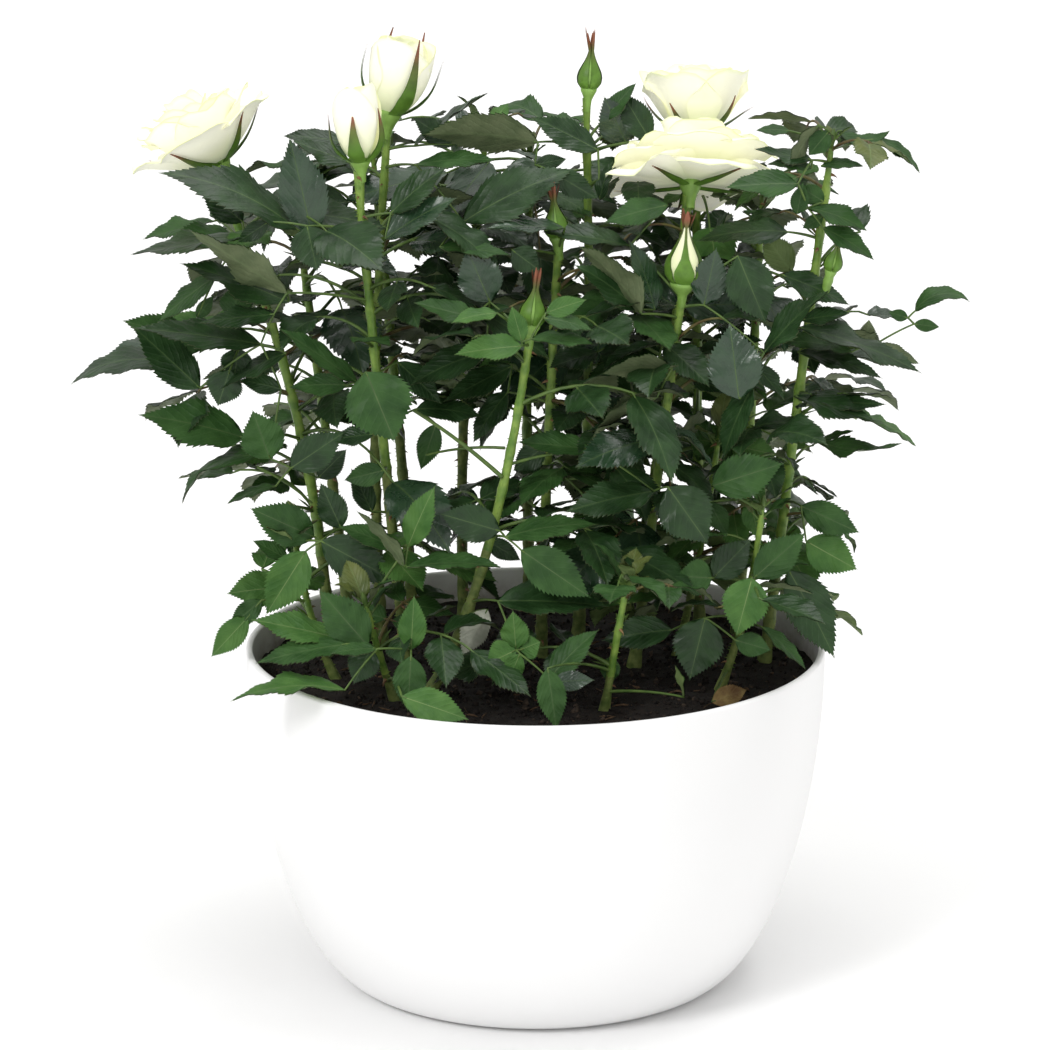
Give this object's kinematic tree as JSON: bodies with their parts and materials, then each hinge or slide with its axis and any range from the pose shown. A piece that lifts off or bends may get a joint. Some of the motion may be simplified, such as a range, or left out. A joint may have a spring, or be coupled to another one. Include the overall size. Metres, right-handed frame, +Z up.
{
  "type": "potted rose bush",
  "caption": "Miniature rose bush in a round bowl planter: upright canes from the soil, masses of toothed compound leaves, cream-white blooms and green buds on stalks above them.",
  "frame": {"origin": "centre of the planter's flat underside", "axes": "+X to the right and -Y towards the viewer in the front view, +Z up along the planter's axis"},
  "size_m": [0.3185, 0.2663, 0.3449],
  "materials": {
    "planter_white": "satin white moulded plastic",
    "potting_soil": "dark crumbly potting soil with bark fibres",
    "cane_bark": "smooth green bark with small prickles",
    "leaf_green": "dark green leaf, glossy above and grey-green below",
    "petal_cream": "soft cream-white petal, yellow-green at the base",
    "bud_green": "fresh green sepals with red-brown tips"
  },
  "bodies": {
    "root": {"planter": "planter_white", "potting_soil": "potting_soil", "cane_left_outer": "cane_bark", "cane_left_front": "cane_bark", "cane_left_rear": "cane_bark", "cane_left_inner": "cane_bark", "cane_centre_front": "cane_bark", "cane_centre_rear": "cane_bark", "cane_centre_inner": "cane_bark", "cane_rear_tall": "cane_bark", "cane_middle_right": "cane_bark", "cane_right_inner": "cane_bark", "cane_right_rear": "cane_bark", "cane_right_outer": "cane_bark", "cane_rear_left": "cane_bark", "cane_rear_middle": "cane_bark", "cane_rear_right": "cane_bark", "cane_low_right": "cane_bark", "cane_low_middle": "cane_bark", "cane_low_left": "cane_bark", "cane_low_front": "cane_bark", "cane_low_front_left": "cane_bark", "foliage_left_outer": "leaf_green", "foliage_left_front": "leaf_green", "foliage_left_rear": "leaf_green", "foliage_left_inner": "leaf_green", "foliage_centre_front": "leaf_green", "foliage_centre_rear": "leaf_green", "foliage_centre_inner": "leaf_green", "foliage_rear_tall": "leaf_green", "foliage_middle_right": "leaf_green", "foliage_right_inner": "leaf_green", "foliage_right_rear": "leaf_green", "foliage_right_outer": "leaf_green", "foliage_rear_left": "leaf_green", "foliage_rear_middle": "leaf_green", "foliage_rear_right": "leaf_green", "foliage_low_right": "leaf_green", "foliage_low_middle": "leaf_green", "foliage_low_left": "leaf_green", "foliage_low_front": "leaf_green", "foliage_low_front_left": "leaf_green", "bloom_left": "petal_cream", "bloom_right": "petal_cream", "bloom_rear_left": "petal_cream", "bloom_rear_right": "petal_cream", "bud_cream": "bud_green", "bud_striped": "bud_green", "bud_green_top": "bud_green", "bud_green_front": "bud_green", "bud_green_inner": "bud_green"}
  },
  "joints": []
}
